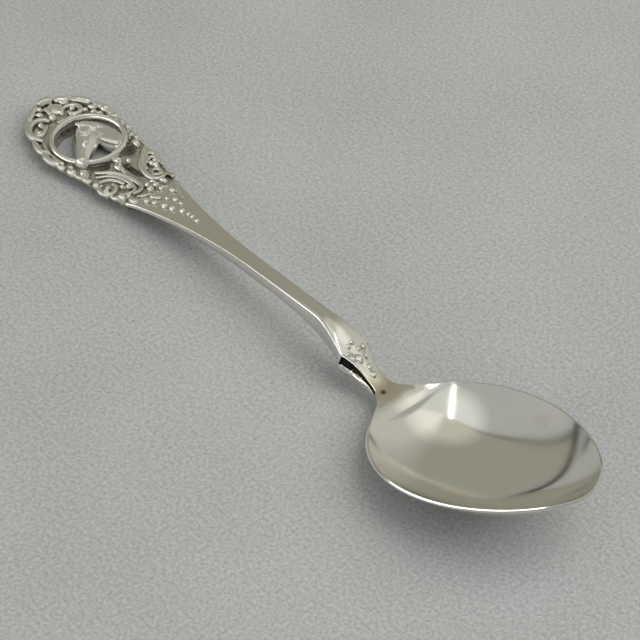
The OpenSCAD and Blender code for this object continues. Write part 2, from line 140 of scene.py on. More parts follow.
# Each lamp: the two ends of its middle line, as directions from the spoon; distance, width, radiance, tint, and
# whether the silver shows it.
LAMPS = {
    "broad_lamp": ((0.20, 0.00, 0.98), (0.66, 0.62, 0.42), 1000, 700, 2.9, "#fffdf8", False),
    "overhead_strip": ((-0.05, -0.01, 1.00), (0.28, -0.48, 0.83), 800, 34, 3.2, "#ffffff", True),
    "low_strip": ((-0.80, -0.58, 0.13), (-0.14, -0.95, 0.26), 900, 170, 2.4, "#fffefa", True),
    "right_strip": ((-0.12, -0.95, 0.26), (0.62, -0.70, 0.34), 900, 140, 2.0, "#fffefa", True),
}
LAMP_TARGET = Vector((0, 0, 6)) * MM
for name, (start, end, distance, width, radiance, tint, shows) in LAMPS.items():
    start, end = (Vector(d).normalized() * distance * MM for d in (start, end))
    along, away = (end - start).normalized(), (start + end).normalized()
    turn = Matrix((along.cross(away), along, away)).transposed()
    bpy.ops.object.light_add(type="AREA", location=LAMP_TARGET + (start + end) / 2, rotation=turn.to_euler())
    lamp = bpy.context.object
    lamp.name = name
    lamp.visible_glossy = shows
    lamp.data.shape = "RECTANGLE"
    lamp.data.size, lamp.data.size_y = width * MM, (end - start).length
    lamp.data.energy = radiance * math.pi * lamp.data.size * lamp.data.size_y
    lamp.data.color = colour(tint)[:3]

# Bowl: raised from silver sheet and planished, then polished inside and out. Its flat rim is filed, and the
# heel runs out into the neck, to which it is soldered with no seam left to see.
TIP_X = -64.6  # the finial's tip in the frame
JOINT, HEEL_END, HEEL_LONG = 90.1, 94.2, 4
BOWL_MIDDLE, BOWL_HALF, BOWL_WIDE = 110.2, 19.0, 13.4
EGG_FULL, EGG_TAPER = 0.57, 0.144  # how full its ends are, and how much slimmer the far one
RIM_MIDDLE, RIM_RISE, RIM_BOW = 8.06, 5.5, 1.3
RIM_FLAT, RIM_EDGE, RIM_UNDERCUT = 0.45, 0.52, 0.12
RIM_FACES = [(0.18, RIM_UNDERCUT), (0.16, -0.075), (0.18, -0.14)]  # rise and spread of its wall and two facets
RIM_NARROW, RIM_START, RIM_GROWS, EGG_START, EGG_GROWS = 0.1, 89, 8, 98, 6
HEEL_EDGES = [
    (86, 1.36), (87, 1.34), (88, 1.38), (89, 1.72), (90.1, 2.42), (91, 3.3), (92, 4.6), (93, 5.9), (94, 7.0),
]
HOLLOW_START, HEEL_SCOOP, HOLLOW_DEEP = 89.4, 0.0694, 6.1
BOWL_DEPTH, LENGTHWISE_CURVE, CROSSWISE_CURVE, NECK_THICK = 7.0, 2.4, 2.3, 2.1
LEAST_HOLLOW, LEAST_BELLY, TIP_ANGLE = 0.002, 0.02, 89  # each just short of where the mesh would fold up
HEEL_STEPS, BOWL_STEPS, BOWL_SIDES = 14, 54, 40


def at(x, y, z):
    """A place on the spoon, in the frame and in metres."""
    return Vector((TIP_X + x, y, z)) * MM


def between(a, b, t):
    """The value that lies a share t of the way from a to b."""
    return a + (b - a) * t


def within(t):
    """Keeps a share from 0 to 1."""
    return max(0, min(1, t))


def along_table(table, x):
    """Reads a table of (x, value) at x, on a smooth curve through its points."""
    last = len(table) - 1
    i = max(0, min(last - 1, sum(x > p[0] for p in table) - 1))
    (x0, v0), (x1, v1) = table[i], table[i + 1]
    before, after = table[max(0, i - 1)], table[min(last, i + 2)]
    slope0, slope1 = (v1 - before[1]) / (x1 - before[0]), (after[1] - v0) / (after[0] - x0)
    t, span = within((x - x0) / (x1 - x0)), x1 - x0
    return (
        v0 * (2 * t**3 - 3 * t**2 + 1)
        + slope0 * span * (t**3 - 2 * t**2 + t)
        + v1 * (3 * t**2 - 2 * t**3)
        + slope1 * span * (t**3 - t**2)
    )


def egg(x, half_length, half_width):
    """Half width at x of an egg-shaped outline, fuller at its heel."""
    s = (x - BOWL_MIDDLE) / half_length
    return half_width * max(0, 1 - s * s) ** EGG_FULL * (1 - EGG_TAPER * s)


def bowl_edge(x):
    """Half width of the bowl at its rim, and of the heel."""
    whole = egg(x, BOWL_HALF, BOWL_WIDE)
    return max(whole, along_table(HEEL_EDGES, x)) if x < HEEL_EDGES[-1][0] else whole


def rim_height(x):
    """Height of the rim's flat top, which climbs to the tip."""
    s = (x - BOWL_MIDDLE) / BOWL_HALF
    return RIM_MIDDLE + RIM_RISE * s + RIM_BOW * s * s


def hollow(x):
    """Depth of the bowl's inside below its rim. It starts softly, just past the joint."""
    if x < HEEL_END:
        return LEAST_HOLLOW + HEEL_SCOOP * max(0, x - HOLLOW_START) ** 2
    return HOLLOW_DEEP * (1 - min(1, abs((x - BOWL_MIDDLE) / (BOWL_HALF - RIM_FLAT))) ** LENGTHWISE_CURVE)


def belly(x):
    """Depth of the bowl's underside below the edge of its rim."""
    whole = BOWL_DEPTH * (1 - abs((x - BOWL_MIDDLE) / BOWL_HALF) ** LENGTHWISE_CURVE)
    return max(LEAST_BELLY, between(NECK_THICK, whole, within((x - JOINT) / HEEL_LONG) ** 2) - RIM_EDGE)


def rim_band(x):
    """Width of the rim's flat top."""
    return between(RIM_NARROW, RIM_FLAT, within((x - RIM_START) / RIM_GROWS))


def inner_edge(x, step=0.05):
    """Half width of the bowl's inside, a rim's width in from its edge."""
    slope = (bowl_edge(x + step) - bowl_edge(x - step)) / (2 * step)
    along_heel = bowl_edge(x) - rim_band(x) * math.hypot(1, slope)
    inner_egg = egg(x, BOWL_HALF - RIM_FLAT, BOWL_WIDE - RIM_FLAT)
    return between(along_heel, inner_egg, within((x - EGG_START) / EGG_GROWS))


def skin(name, outline, stations, closed):
    """Extrudes an outline of (y, z) shares through stations of (x, z, width, depth), scaling it at each."""
    bpy.ops.object.select_all(action="DESELECT")
    bpy.ops.mesh.primitive_circle_add(vertices=len(outline), radius=MM)
    piece = bpy.context.object
    piece.name = piece.data.name = name
    x, z, width, depth = stations[0]
    for vertex, (y_share, z_share) in zip(piece.data.vertices, outline):
        vertex.co = at(x, y_share * width, z + z_share * depth)
    bpy.ops.object.mode_set(mode="EDIT")
    if not closed:
        bpy.ops.mesh.select_all(action="DESELECT")
        bpy.ops.object.mode_set(mode="OBJECT")
        ends = {0, len(outline) - 1}
        for edge in piece.data.edges:
            edge.select = set(edge.vertices) == ends
        bpy.ops.object.mode_set(mode="EDIT")
        bpy.ops.mesh.select_mode(type="EDGE")
        bpy.ops.mesh.delete(type="EDGE")
        bpy.ops.mesh.select_mode(type="VERT")
    bpy.ops.mesh.select_all(action="SELECT")
    for x_next, z_next, width_next, depth_next in stations[1:]:
        bpy.ops.mesh.extrude_region_move(
            TRANSFORM_OT_translate={"value": Vector((x_next - x, 0, z_next - z)) * MM}
        )
        bpy.ops.transform.resize(
            value=(1, width_next / width, depth_next / depth), center_override=at(x_next, 0, z_next)
        )
        x, z, width, depth = x_next, z_next, width_next, depth_next
    bpy.ops.object.mode_set(mode="OBJECT")
    return piece


def only(piece, *others):
    """Selects these pieces alone, with the first one active."""
    bpy.ops.object.select_all(action="DESELECT")
    for each in (piece, *others):
        each.select_set(True)
    bpy.context.view_layer.objects.active = piece


def modify(piece, kind, **settings):
    """Adds a modifier with its settings and applies it."""
    only(piece)
    modifier = piece.modifiers.new(kind.lower(), kind)
    for key, value in settings.items():
        setattr(modifier, key, value)
    bpy.ops.object.modifier_apply(modifier=modifier.name)


def finish_piece(piece, node, material):
    """Gives a piece its material, parents it to the body it rides on and hides the CAD part of the node it
    replaces.
    """
    piece.data.materials.append(material)
    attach(piece, "root")
    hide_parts(node)


arc = [math.sin(math.radians(90 * (2 * i / BOWL_SIDES - 1))) for i in range(BOWL_SIDES + 1)]
bowl_outline = [(s, -(1 - abs(s) ** CROSSWISE_CURVE)) for s in arc]
heel_angle, tip_angle = math.asin((HEEL_END - BOWL_MIDDLE) / BOWL_HALF), math.radians(TIP_ANGLE)
places = [between(JOINT, HEEL_END, i / HEEL_STEPS) for i in range(HEEL_STEPS + 1)]
places += [
    BOWL_MIDDLE + BOWL_HALF * math.sin(between(heel_angle, tip_angle, i / BOWL_STEPS))
    for i in range(1, BOWL_STEPS + 1)
]
inner_places = [
    x if x < BOWL_MIDDLE else BOWL_MIDDLE + (x - BOWL_MIDDLE) * (1 - RIM_FLAT / BOWL_HALF) for x in places
]
inside = skin(
    "bowl_inside",
    bowl_outline,
    [(x, rim_height(x), inner_edge(x), hollow(x)) for x in inner_places],
    closed=False,
)
bowl = skin(
    "silver_bowl",
    bowl_outline,
    [(x, rim_height(x) - RIM_EDGE, bowl_edge(x) - RIM_UNDERCUT, belly(x)) for x in places],
    closed=False,
)
# The outside's open edge is drawn up into the rim, and its top is bridged to the inside.
only(bowl)
bpy.ops.object.mode_set(mode="EDIT")
bpy.ops.mesh.select_mode(type="EDGE")
bpy.ops.mesh.select_all(action="SELECT")
bpy.ops.mesh.region_to_loop()
for rise, spread in RIM_FACES:
    bpy.ops.mesh.extrude_region_move(TRANSFORM_OT_translate={"value": (0, 0, rise * MM)})
    bpy.ops.transform.resize(
        value=(1 + min(0, spread) / BOWL_HALF, 1 + spread / BOWL_WIDE, 1),
        center_override=at(BOWL_MIDDLE, 0, RIM_MIDDLE),
    )
    bpy.ops.transform.edge_crease(value=1)
bpy.ops.object.mode_set(mode="OBJECT")
only(bowl, inside)
bpy.ops.object.join()
bpy.ops.object.mode_set(mode="EDIT")
bpy.ops.mesh.select_mode(type="EDGE")
bpy.ops.mesh.select_all(action="DESELECT")
bpy.ops.mesh.select_non_manifold(
    extend=False, use_boundary=True, use_wire=False, use_multi_face=False, use_non_contiguous=False,
    use_verts=False,
)
bpy.ops.mesh.bridge_edge_loops()
bpy.ops.mesh.select_all(action="SELECT")
bpy.ops.mesh.normals_make_consistent(inside=False)
bpy.ops.object.mode_set(mode="OBJECT")
modify(bowl, "SUBSURF", levels=1, render_levels=1)
for vertex in bowl.data.vertices:  # wear has left a small flat where the bowl rests
    vertex.co.z = max(0, vertex.co.z)
bpy.ops.object.shade_smooth_by_angle(angle=math.radians(18))

# Silver of the bowl and the stem, polished years ago and used since: warm white metal with hairline
# scratches, a soft haze and thin patches of yellow tarnish. Close round the beads and ornament on it, painted
# shade darkens it.
polished_silver = bpy.data.materials.new("polished_silver")
STAIN_BROWN = "#75664a"
TARNISH_TONE = 0.6
PATCH_START, PATCH_FULL, PATCH_SPREAD, PATCH_DARK = 0.66, 0.86, 0.3, 1.6  # where the noise turns to tarnish
CREVICE_SHADE_REACH, CREVICE_SHADE_STARTS, CREVICE_SHADE_FULL = 0.7, 0.85, 0.35  # painted shade, standing also for tarnish: faces nearer than this darken the colour
STAIN_CORE = 0.3  # the share of its reach over which a stain is at its strongest
# Real hairlines and specks are some hundredths of a millimetre wide. They are drawn coarser, so that they show.
HAIRLINE, HAIRLINE_STRETCH, SPECK, SCRATCH_DEEP = 0.12, 0.08, 0.25, 0.01


def make_silver(material, clean, tarnish, tarnish_share, gloss, haze, patch, crevice_shade, stains=()):
    """Silver from its two colours, how much of it is tarnished, its roughness where bright and where hazy, the
    size of its patches and how dark the painted shade in each crevice is. Each of the stains is its middle, its
    reach and its strength."""
    material.use_nodes = True
    tree = material.node_tree
    surface = tree.nodes["Principled BSDF"]
    place = add_node(tree, "TexCoord").outputs["Object"]
    patches = add_node(
        tree, "TexNoise", {"Vector": place, "Scale": 1 / (patch * MM), "Detail": 5, "Roughness": 0.6}
    ).outputs["Fac"]
    specks = add_node(tree, "TexNoise", {"Vector": place, "Scale": 1 / (SPECK * MM), "Detail": 3})
    first, full = PATCH_START - PATCH_SPREAD * tarnish_share, PATCH_FULL - PATCH_SPREAD * tarnish_share
    tarnish_and_shade = add_node(
        tree, "MapRange",
        {"Value": patches, "From Min": first, "From Max": full, "To Max": min(1, tarnish_share * PATCH_DARK)},
    ).outputs["Result"]
    # Painted shade: ambient occlusion darkens the colour towards the tarnish tone where other faces stand
    # close, in creases and round soldered parts; it stands also for the tarnish that gathers there.
    if crevice_shade:
        openness = add_node(tree, "AmbientOcclusion", {"Distance": CREVICE_SHADE_REACH * MM}, samples=8).outputs["AO"]
        crevice_shade_mask = add_node(
            tree, "MapRange",
            {"Value": openness, "From Min": CREVICE_SHADE_STARTS, "From Max": CREVICE_SHADE_FULL, "To Max": crevice_shade},
        ).outputs["Result"]
        tarnish_and_shade = add_node(tree, "Math", {0: tarnish_and_shade, 1: crevice_shade_mask}, operation="MAXIMUM").outputs["Value"]
    for middle, reach, strength in stains:
        away = add_node(tree, "VectorMath", {0: place, 1: at(*middle)}, operation="DISTANCE").outputs["Value"]
        mark = add_node(
            tree, "MapRange",
            {"Value": away, "From Min": reach * MM, "From Max": reach * MM * STAIN_CORE, "To Max": strength},
        ).outputs["Result"]
        tarnish_and_shade = add_node(tree, "Math", {0: tarnish_and_shade, 1: mark}, operation="MAXIMUM").outputs["Value"]
    tones = [(0, colour(clean)), (TARNISH_TONE, colour(tarnish)), (1, colour(STAIN_BROWN))]
    shade = add_node(tree, "ValToRGB", {"Fac": tarnish_and_shade}, tones)
    tree.links.new(shade.outputs["Color"], surface.inputs["Base Color"])
    surface.inputs["Metallic"].default_value = 1
    rough = add_node(
        tree, "MapRange", {"Value": patches, "From Min": 0.3, "From Max": 0.75, "To Min": gloss, "To Max": haze}
    )
    tree.links.new(rough.outputs["Result"], surface.inputs["Roughness"])
    drawn = add_node(tree, "Mapping", {"Vector": place, "Scale": (HAIRLINE_STRETCH, 1, 1)}).outputs["Vector"]
    hairlines = add_node(tree, "TexNoise", {"Vector": drawn, "Scale": 1 / (HAIRLINE * MM), "Detail": 2})
    height = add_node(
        tree, "Mix", {"Factor": 0.5, "A": hairlines.outputs["Fac"], "B": specks.outputs["Fac"]},
        data_type="FLOAT",
    ).outputs["Result"]
    bump = add_node(tree, "Bump", {"Height": height, "Strength": 0.18, "Distance": SCRATCH_DEEP * MM})
    tree.links.new(bump.outputs["Normal"], surface.inputs["Normal"])


make_silver(
    polished_silver, "#f2f0ea", "#cfc19c", 0.2, 0.08, 0.2, 14.0, 0.6,
    stains=[((88.4, 0, 4.4), 4.0, 0.3), ((89.7, -0.85, 3.75), 0.75, 1.0), ((48, 0, 5), 26, 0.12)],
)
finish_piece(bowl, "bowl", polished_silver)

# Stem: cast and filed, with a crowned top face between sharp edges and a rounded underside. It arches to the
# shoulder, swells to two points there, is cut away behind them, and drops to the bowl as a narrow neck
# that is hollowed along each side.
ROOT, THICKEST, ARCH, SHOULDER = 31.6, 65.9, 75.5, 82.1
ROOT_HEIGHT, ARCH_HEIGHT, ARCH_CURVE, STEM_CROWN = 2.8, 8.0, 0.72, 0.2
STEM_SLIM, SHOULDER_WIDE, ROOT_WIDE = 1.25, 2.4, 4.8
FLARE_END, SWELL_START, SWELL_CURVE = 0.56, 0.85, 1.2  # shares of the way from the root to the shoulder
ROOT_THICK, STEM_THICK, THICKENS_OVER = 1.3, 2.9, 28
TOP_EDGE, RIDGE_FOOT, GROOVE_TOP, GROOVE_LOW = 0, -0.1, -0.2, -0.36  # shares of the thickness
STEM_SECTION = [
    (0, 0.08), (0.35, 0.07), (0.7, 0.04), (1, TOP_EDGE), (1.0, RIDGE_FOOT), (1.02, GROOVE_TOP),
    (1.03, GROOVE_LOW), (0.99, -0.52), (0.88, -0.7), (0.68, -0.86), (0.36, -0.97), (0, -1),
]
NECK_TOP_EDGES = [
    (82.1, 2.4), (82.6, 2.12), (83.2, 1.84), (84, 1.56), (85, 1.38), (86, 1.32), (87, 1.34), (88, 1.42),
    (89, 1.72), (90.1, 2.42), (91, 3.3),
]
NECK_LIPS = [
    (82.1, 2.9), (82.6, 2.85), (83.2, 2.65), (84, 2.3), (85, 1.95), (86, 1.74), (87, 1.64), (88, 1.68),
    (89, 1.84), (90.1, 2.44), (91, 3.3),
]
LIP_TURN, TUCK, TUCK_START, TUCK_TURN, TUCK_END, TUCK_FADE = 0.3, 0.14, 0.52, 0.2, 89.5, 2
RIDGE_WIDE, RIDGE_TALL, RIDGE_START, RIDGE_GROWS = 0.16, 0.2, 58, 14
GROOVE_START, GROOVE_END, GROOVE_OPENS, GROOVE_CLOSES = 82.25, 88.9, 0.15, 3.5
GROOVE_DEPTHS = {GROOVE_TOP: 0.95, GROOVE_LOW: 0.3}
GROOVE_SHADE_TOP, GROOVE_SHADE_NEAR, GROOVE_SHADE_FAR = 0.05, 0.4, 0.3  # how far down each side the painted shade reaches
CROWN_FADES = 85
END_RUNS, END_NARROW, END_SUNK, END_PROUD, END_DIPS = (0.4, 1.1, 1.8), 0.97, 0.3, 0.014, 0.012
STEM_STEPS, NECK_STEPS = 50, 26


def ease(t):
    """A share that starts and ends softly."""
    return (1 - math.cos(math.pi * within(t))) / 2


def stem_half_width(x):
    """Half width of the top face, from the root to the shoulder's points, and then of the neck."""
    if x > SHOULDER:
        return along_table(NECK_TOP_EDGES, x)
    s = (x - ROOT) / (SHOULDER - ROOT)
    return (
        STEM_SLIM
        + (ROOT_WIDE - STEM_SLIM) * (1 - within(s / FLARE_END)) ** 2
        + (SHOULDER_WIDE - STEM_SLIM) * within((s - SWELL_START) / (1 - SWELL_START)) ** SWELL_CURVE
    )


def stem_top(x):
    """Height of the top edges: up to the arch, then down to the bowl's rim."""
    if x < ARCH:
        return between(ROOT_HEIGHT, ARCH_HEIGHT, max(0, (x - ROOT) / (ARCH - ROOT)) ** ARCH_CURVE)
    return between(ARCH_HEIGHT, rim_height(JOINT), ease((x - ARCH) / (JOINT - ARCH)))


def stem_drop(x):
    """Thickness of the stem, from its top edges down to the middle of its underside."""
    if x < THICKEST:
        return between(ROOT_THICK, STEM_THICK, within((x - ROOT) / THICKENS_OVER))
    share = ease((x - THICKEST) / (JOINT - THICKEST))
    return stem_top(x) - between(stem_top(THICKEST) - STEM_THICK, rim_height(JOINT) - NECK_THICK, share)


def ridge_share(x):
    """The ridge along each top edge is half as large near the root as at the shoulder."""
    return between(0.5, 1, within((x - RIDGE_START) / RIDGE_GROWS))


def close_ends(piece):
    """Fills a piece's open ends and turns its faces outwards."""
    only(piece)
    bpy.ops.object.mode_set(mode="EDIT")
    bpy.ops.mesh.select_all(action="SELECT")
    bpy.ops.mesh.fill_holes(sides=0)
    bpy.ops.mesh.normals_make_consistent(inside=False)
    bpy.ops.object.mode_set(mode="OBJECT")


stem_places = [ROOT + (SHOULDER - ROOT) * i / STEM_STEPS for i in range(STEM_STEPS + 1)]
stem_places += [between(SHOULDER, JOINT, i / NECK_STEPS) for i in range(1, NECK_STEPS + 1)]
stem_places += [JOINT + run for run in END_RUNS]
stem_outline = STEM_SECTION + [(-y, z) for y, z in reversed(STEM_SECTION[1:-1])]
stem_stations = [(x, stem_top(x), stem_half_width(x), stem_drop(x)) for x in stem_places]
stem = skin("silver_stem", stem_outline, stem_stations, closed=True)
for i, vertex in enumerate(stem.data.vertices):
    x = vertex.co.x / MM - TIP_X
    across, up = stem_outline[i % len(stem_outline)]
    if x > SHOULDER and up < RIDGE_FOOT:  # below its top edges the neck is wider
        lip = between(stem_half_width(x), along_table(NECK_LIPS, x), within((RIDGE_FOOT - up) / LIP_TURN))
        tuck = 1 - TUCK * within((-up - TUCK_START) / TUCK_TURN) * within((TUCK_END - x) / TUCK_FADE)
        vertex.co.y *= lip / stem_half_width(x) * tuck
    if up > 0 and CROWN_FADES < x <= JOINT:  # the crowned top sinks to the bowl's inside
        crown = up * stem_drop(x) * (JOINT - x) / (JOINT - CROWN_FADES)
        vertex.co.z = (stem_top(x) + crown - hollow(x)) * MM
    if x > JOINT:  # the end runs on into the heel, level with the bowl's inside
        vertex.co.y *= END_NARROW
        below_rim = hollow(x) * (1 - abs(across) ** CROSSWISE_CURVE) if up >= 0 else END_SUNK - up
        vertex.co.z = (rim_height(x) - below_rim + END_PROUD - END_DIPS * (x - JOINT) ** 2) * MM
        continue
    if up == TOP_EDGE:  # the ridge's top is drawn in, and its foot is set down
        vertex.co.y -= math.copysign(RIDGE_WIDE * ridge_share(x) * MM, vertex.co.y)
    if up == RIDGE_FOOT:
        vertex.co.z = (stem_top(x) - RIDGE_TALL * ridge_share(x)) * MM
    if up in GROOVE_DEPTHS and GROOVE_START < x < GROOVE_END:  # the neck's sides are pushed in
        openness = within((x - GROOVE_START) / GROOVE_OPENS) * within((GROOVE_END - x) / GROOVE_CLOSES) ** 0.5
        vertex.co.y -= math.copysign(GROOVE_DEPTHS[up] * openness * MM, vertex.co.y)
# The neck's side hollows take the second material: painted near-black shade.
for face in stem.data.polygons:
    points = [stem.data.vertices[i] for i in face.vertices]
    middle = sum((point.co for point in points), Vector()) / len(points)
    shares = [-stem_outline[point.index % len(stem_outline)][1] for point in points]
    in_groove = GROOVE_START < middle.x / MM - TIP_X < GROOVE_END
    if in_groove and GROOVE_SHADE_TOP < min(shares) and max(shares) < (GROOVE_SHADE_NEAR if middle.y < 0 else GROOVE_SHADE_FAR):
        face.material_index = 1
close_ends(stem)
modify(stem, "BEVEL", width=0.05 * MM, segments=2, limit_method="ANGLE", angle_limit=math.radians(30))
modify(stem, "SUBSURF", levels=1, render_levels=1)
bpy.ops.object.shade_smooth_by_angle(angle=math.radians(30))
finish_piece(stem, "stem", polished_silver)
# Painted shade: the hollows beside the neck are coloured dull, nearly black silver.
groove_painted_shade = bpy.data.materials.new("groove_painted_shade")
make_silver(groove_painted_shade, "#2e2c26", "#1a1915", 0.5, 0.35, 0.5, 1.0, 0)
stem.data.materials.append(groove_painted_shade)

# Openwork plate: sheet silver, pierced with a round hole for the medallion and three windows, its edges
# filed round. The ornament is soldered on it, and tarnish has gathered between, darkened further with painted
# shade.
PLATE_TOP = 1.9
RING_X, RING_R, RING_BAND = 14.2, 6.4, 1.05
PLATE_LEFT = [
    (0.5, -0.5), (1.3, -2.0), (2.8, -3.7), (4.6, -5.1), (6.6, -6.4), (9.0, -7.2), (11.9, -7.8), (15.0, -8.0),
    (17.5, -7.7), (19.8, -7.2), (21.6, -6.7), (23.8, -6.2), (25.6, -5.8), (28.2, -5.0), (30.3, -4.4),
    (31.8, -3.9),
]
PLATE_RIGHT = [
    (31.8, 4.7), (30.6, 5.3), (28.6, 5.6), (26.6, 5.9), (24.4, 6.6), (22.6, 6.8), (20.4, 6.7), (17.7, 7.1),
    (15.2, 7.4), (11.5, 7.6), (9.2, 7.4), (7.3, 7.0), (5.4, 6.2), (3.8, 5.0), (2.3, 3.4), (1.1, 1.8),
    (0.4, 0.6),
]
WINDOWS = [
    [(19.9, -4.0), (19.6, -2.4), (19.7, -0.9), (20.3, 0.0), (21.0, -0.4), (21.9, -1.1), (21.9, -2.1),
     (21.3, -3.0), (20.8, -3.9)],
    [(19.4, 3.2), (18.8, 4.4), (19.3, 5.6), (19.9, 5.6), (21.0, 4.6), (21.4, 3.7), (20.9, 2.9), (20.3, 2.4)],
    [(22.3, 1.0), (22.5, 1.5), (23.2, 1.9), (24.4, 2.0), (25.7, 2.2), (26.8, 2.2), (26.9, 1.7), (26.1, 1.1),
     (24.4, 0.8), (23.0, 0.7)],
]
PLATE_MIDDLE, UNDER_LONG, UNDER_WIDE = 16, 0.9, 0.76  # the underside's size, as shares of the top's
FOOT_START, FOOT_END, FOOT_STEPS, FOOT_PROUD = 28.6, 31.75, 8, 0.02
FOOT_WIDE, FOOT_THICK = (4.3, 4.55), (0.8, 1.2)


def slab(name, corners, low, high):
    """A block with this outline, drawn up from one height to another."""
    bpy.ops.object.select_all(action="DESELECT")
    bpy.ops.mesh.primitive_circle_add(vertices=len(corners), radius=MM, fill_type="NGON")
    piece = bpy.context.object
    piece.name = piece.data.name = name
    for vertex, (x, y) in zip(piece.data.vertices, corners):
        vertex.co = at(x, y, low)
    bpy.ops.object.mode_set(mode="EDIT")
    bpy.ops.mesh.select_all(action="SELECT")
    bpy.ops.mesh.extrude_region_move(TRANSFORM_OT_translate={"value": (0, 0, (high - low) * MM)})
    bpy.ops.mesh.select_all(action="SELECT")
    bpy.ops.mesh.normals_make_consistent(inside=False)
    bpy.ops.object.mode_set(mode="OBJECT")
    return piece


def flowing(points, steps=6, closed=False):
    """More points between these, on a smooth curve through them."""
    count = len(points)
    path = []
    for i in range(count if closed else count - 1):
        if closed:
            four = [points[(i + k) % count] for k in (-1, 0, 1, 2)]
        else:
            four = [points[max(0, i - 1)], points[i], points[i + 1], points[min(count - 1, i + 2)]]
        for step in range(steps):
            t = step / steps
            path.append(tuple(
                0.5 * (
                    2 * b + (c - a) * t + (2 * a - 5 * b + 4 * c - d) * t * t
                    + (3 * b - a - 3 * c + d) * t**3
                )
                for a, b, c, d in zip(*four)
            ))
    return path if closed else path + [tuple(points[-1])]


plate = slab("silver_finial_plate", flowing(PLATE_LEFT + PLATE_RIGHT, 4, closed=True), 0, PLATE_TOP)
for vertex in plate.data.vertices:  # the edge is filed away underneath
    if vertex.co.z < PLATE_TOP * MM / 2:
        vertex.co.x = at(between(PLATE_MIDDLE, vertex.co.x / MM - TIP_X, UNDER_LONG), 0, 0).x
        vertex.co.y *= UNDER_WIDE
hole_r = RING_R - RING_BAND
hole = [(RING_X + hole_r * math.cos(a * math.pi / 48), hole_r * math.sin(a * math.pi / 48)) for a in range(96)]
for corners in (hole, *(flowing(window, 4, closed=True) for window in WINDOWS)):
    cutter = slab("cutter", corners, -1, PLATE_TOP + 1)
    modify(plate, "BOOLEAN", object=cutter, operation="DIFFERENCE", solver="EXACT")
    only(cutter)
    bpy.ops.object.delete()
# The plate's end swells into the root of the handle.
foot_stations = []
for i in range(FOOT_STEPS + 1):
    t = i / FOOT_STEPS
    top = between(PLATE_TOP + FOOT_PROUD, ROOT_HEIGHT, ease(t))
    foot_stations.append((
        between(FOOT_START, FOOT_END, t), top, between(*FOOT_WIDE, t), between(*FOOT_THICK, ease(t))
    ))
foot = skin("foot", stem_outline, foot_stations, closed=True)
close_ends(foot)
modify(plate, "BEVEL", width=0.16 * MM, segments=2, limit_method="ANGLE", angle_limit=math.radians(50))
only(plate, foot)
bpy.ops.object.join()
bpy.ops.object.shade_smooth_by_angle(angle=math.radians(40))

# Silver in the hollows of the ornament: a cloth never reaches it, so it stays dull and tarnished brown-grey.
# Its darker tone is partly painted shade of the hollows, and its crevices get painted shade as well.
recess_silver = bpy.data.materials.new("recess_silver")
make_silver(recess_silver, "#cfccc0", "#8d8775", 0.5, 0.34, 0.5, 1.2, 0.42)
finish_piece(plate, "finial_plate", recess_silver)

# Medallion ring: half-round wire bent to a circle and soldered round the hole. It stands a little higher
# towards the tip and the far side, and handling has rubbed it bright.
RING_MIDDLE, RING_TALL, RING_SEAT = 2.2, 1.3, 1.5
RING_LIFT, LIFT_SKEW, LIFT_OVER = 0.35, 0.6, 14
bpy.ops.object.select_all(action="DESELECT")
bpy.ops.mesh.primitive_torus_add(
    major_segments=128, minor_segments=20, major_radius=(RING_R - RING_BAND / 2) * MM,
    minor_radius=RING_BAND / 2 * MM,
)
medallion_ring = bpy.context.object
medallion_ring.name = medallion_ring.data.name = "silver_medallion_ring"
bpy.ops.object.mode_set(mode="EDIT")
bpy.ops.mesh.select_all(action="SELECT")
bpy.ops.transform.translate(value=at(RING_X, 0, RING_MIDDLE))
bpy.ops.transform.resize(value=(1, 1, RING_TALL), center_override=at(RING_X, 0, RING_MIDDLE))
bpy.ops.object.mode_set(mode="OBJECT")
for vertex in medallion_ring.data.vertices:
    x, y, z = vertex.co.x / MM - TIP_X - RING_X, vertex.co.y / MM, vertex.co.z / MM
    lift = RING_LIFT * within(0.5 + (y - LIFT_SKEW * x) / LIFT_OVER)
    vertex.co.z = (RING_SEAT + (z - RING_SEAT) * (1 + lift)) * MM
bpy.ops.object.shade_smooth()

# Silver where fingers and the cloth rub: nearly white, with only a breath of tarnish. Where it meets other
# parts and in its creases, painted shade darkens it.
bright_silver = bpy.data.materials.new("bright_silver")
make_silver(bright_silver, "#f5f4ef", "#a39d8a", 0.2, 0.18, 0.32, 2.0, 0.4)
finish_piece(medallion_ring, "medallion_ring", bright_silver)

# Horse's head: silver cast solid in low relief, with its neck and mane. It is soldered into the ring at its
# nose and at the foot of its neck.
HEAD_FLATTEN, HEAD_BASE = 0.85, 1.6
HANDLE_START = 32
CAST_LOSS, CAST_SINK, STRAND_TAPER = 1.18, 0.1, 0.25  # melting together thins a strand, so it starts thicker


def ground(x):
    """Height of the face under the ornament: the plate's, then the sloping handle's."""
    if x > HANDLE_START:
        return stem_top(x) + STEM_CROWN
    rise = ease((x - FOOT_START) / (HANDLE_START - FOOT_START))
    return between(PLATE_TOP, stem_top(HANDLE_START) + STEM_CROWN, rise)


